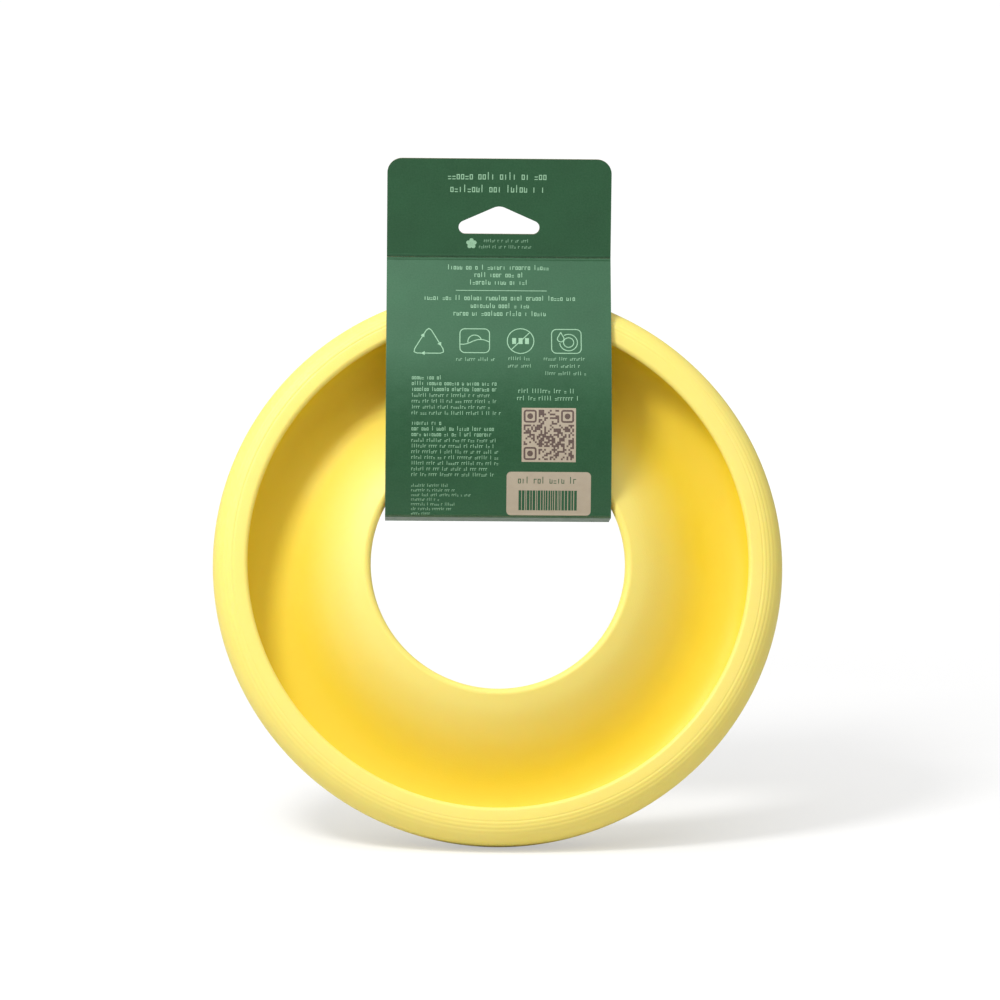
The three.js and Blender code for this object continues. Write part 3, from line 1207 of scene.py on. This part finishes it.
FLOOR_HALF = 30
KEY_PLACE = Vector((-0.41, -0.38, 0.87))
KEY_RADIUS = 0.13
KEY_POWER = 5.3
TOP_DIRECTION = Vector((-0.2, -0.15, 1))
TOP_STRENGTH = 1.75
TOP_ANGLE = 80
FILL_STRENGTH = 0.3
BACKDROP_NEAR = 0.38
BACKDROP_FAR = 1.0
FLOOR_GLOW = 0.47
BACKDROP_GLOW = 0.62


def make_camera():
    azimuth, elevation = math.radians(CAMERA_AZIMUTH), math.radians(CAMERA_ELEVATION)
    flat = math.cos(elevation)
    back = Vector((math.sin(azimuth) * flat, -math.cos(azimuth) * flat, math.sin(elevation)))
    turn = (-back).to_track_quat("-Z", "Y").to_matrix()
    aim = RING_MIDDLE + turn.col[0] * AIM_RIGHT_OF_MIDDLE + turn.col[1] * AIM_ABOVE_MIDDLE
    turn = turn @ Matrix.Rotation(math.radians(CAMERA_ROLL), 3, "Z")
    data = bpy.data.cameras.new("camera")
    data.lens = CAMERA_LENS
    data.clip_end = 100
    camera = bpy.data.objects.new("camera", data)
    camera.matrix_world = Matrix.Translation(aim + back * CAMERA_DISTANCE) @ turn.to_4x4()
    bpy.context.scene.collection.objects.link(camera)
    bpy.context.scene.camera = camera


def make_light(name, data, place, direction):
    light = bpy.data.objects.new(name, data)
    turn = direction.to_track_quat("Z", "Y").to_matrix()
    light.matrix_world = Matrix.Translation(place) @ turn.to_4x4()
    bpy.context.scene.collection.objects.link(light)


def make_lights():
    """A small soft key light up on the left in front, and a wide soft overhead light."""
    key = bpy.data.lights.new("key", "AREA")
    key.shape = "DISK"
    key.size = 2 * KEY_RADIUS
    key.energy = KEY_POWER
    make_light("key", key, KEY_PLACE, KEY_PLACE - RING_MIDDLE)
    overhead = bpy.data.lights.new("overhead", "SUN")
    overhead.energy = TOP_STRENGTH
    overhead.angle = math.radians(TOP_ANGLE)
    make_light("overhead", overhead, TOP_DIRECTION, TOP_DIRECTION)


def seen_apart(tree, lighting, seen):
    """One shader for the rays that carry light, and another for what the camera sees."""
    to_camera = add(tree, "ShaderNodeLightPath").outputs["Is Camera Ray"]
    inputs = {0: to_camera, 1: lighting.outputs[0], 2: seen.outputs[0]}
    return add(tree, "ShaderNodeMixShader", inputs).outputs[0]


def make_world():
    """White for the camera, and a softer even fill for everything else."""
    world = bpy.data.worlds.new("studio")
    world.use_nodes = True
    bpy.context.scene.world = world
    tree = world.node_tree
    tree.nodes.clear()
    fill = add(tree, "ShaderNodeBackground", {"Color": (1, 1, 1, 1), "Strength": FILL_STRENGTH})
    seen = add(tree, "ShaderNodeBackground", {"Color": (1, 1, 1, 1), "Strength": 1.0})
    add(tree, "ShaderNodeOutputWorld", {"Surface": seen_apart(tree, fill, seen)})


def make_floor():
    """A pale floor whose glow grows with distance, as a lit backdrop's does.

    Only the camera sees that one. Light meets a plain matte floor that doesn't glow.
    """
    material, tree, surface = new_material("pale_floor", Roughness=0.9)
    surface.inputs["Base Color"].default_value = FLOOR_WHITE
    surface.inputs["Specular IOR Level"].default_value = 0.1
    surface.inputs["Emission Color"].default_value = (1, 1, 1, 1)
    place = add(tree, "ShaderNodeTexCoord").outputs["Object"]
    away = add(tree, "ShaderNodeVectorMath", {0: place}, operation="LENGTH").outputs["Value"]
    glow = between(tree, away, BACKDROP_NEAR, BACKDROP_FAR, FLOOR_GLOW, BACKDROP_GLOW)
    tree.links.new(glow, surface.inputs["Emission Strength"])
    bounce = add(tree, "ShaderNodeBsdfDiffuse", {"Color": FLOOR_BOUNCE})
    output = next(node for node in tree.nodes if node.type == "OUTPUT_MATERIAL")
    tree.links.new(seen_apart(tree, bounce, surface), output.inputs["Surface"])
    h = FLOOR_HALF
    corners = [(-h, -h, GROUND), (h, -h, GROUND), (h, h, GROUND), (-h, h, GROUND)]
    floor = mesh_object("floor", corners, [(0, 1, 2, 3)], [material])


def dress_glue():
    """The glue film between the header's leaves keeps its CAD shape."""
    node = frame["nodes"]["header_glue"]
    node.material_slots[0].material = glue_film()


def main():
    bpy.context.scene.view_settings.view_transform = "Standard"
    make_camera()
    make_world()
    make_lights()
    make_floor()
    make_ring(elastomer())
    make_card([green_ink(), pale_ink(), bare_board(), brown_ink()])
    dress_glue()


main()
